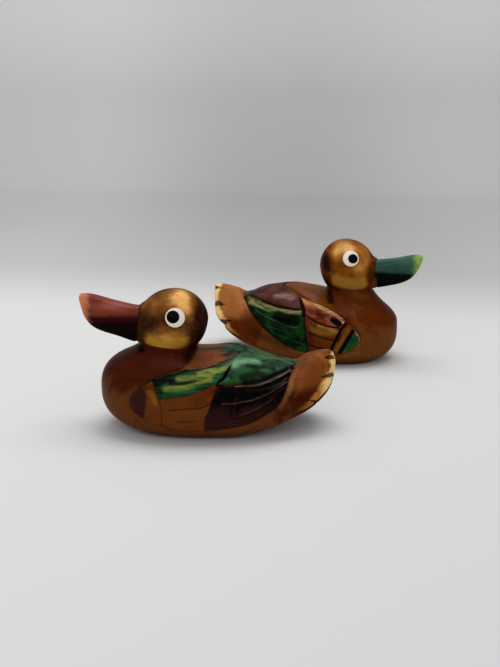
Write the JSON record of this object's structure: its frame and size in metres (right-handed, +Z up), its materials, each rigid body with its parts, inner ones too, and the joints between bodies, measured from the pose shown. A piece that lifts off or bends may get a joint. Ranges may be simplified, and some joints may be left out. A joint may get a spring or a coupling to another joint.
{
  "type": "pair of carved mandarin ducks",
  "caption": "Pair of carved and painted wooden mandarin ducks, each one block with a flat base, folded wings with cut feathers, a notched upturned tail and a long faceted bill.",
  "frame": {"origin": "middle of the pair's box, on the surface the ducks stand on", "axes": "+Z up; +X along the longer side of the pair's box, towards the bill of the duck with the green bill; the two ducks stand side by side along Y and face opposite ways"},
  "size_m": [0.2177, 0.2136, 0.0853],
  "materials": {
    "stained_wood_red_bill": "orange-brown stain with green, purple and tan paint on the wings and red paint on the bill, under semi-gloss lacquer",
    "stained_wood_green_bill": "orange-brown stain with purple, red and dark green paint on the wings and green paint on the bill, under semi-gloss lacquer"
  },
  "bodies": {
    "root": {"duck_with_red_bill": "stained_wood_red_bill", "duck_with_green_bill": "stained_wood_green_bill"}
  },
  "joints": []
}
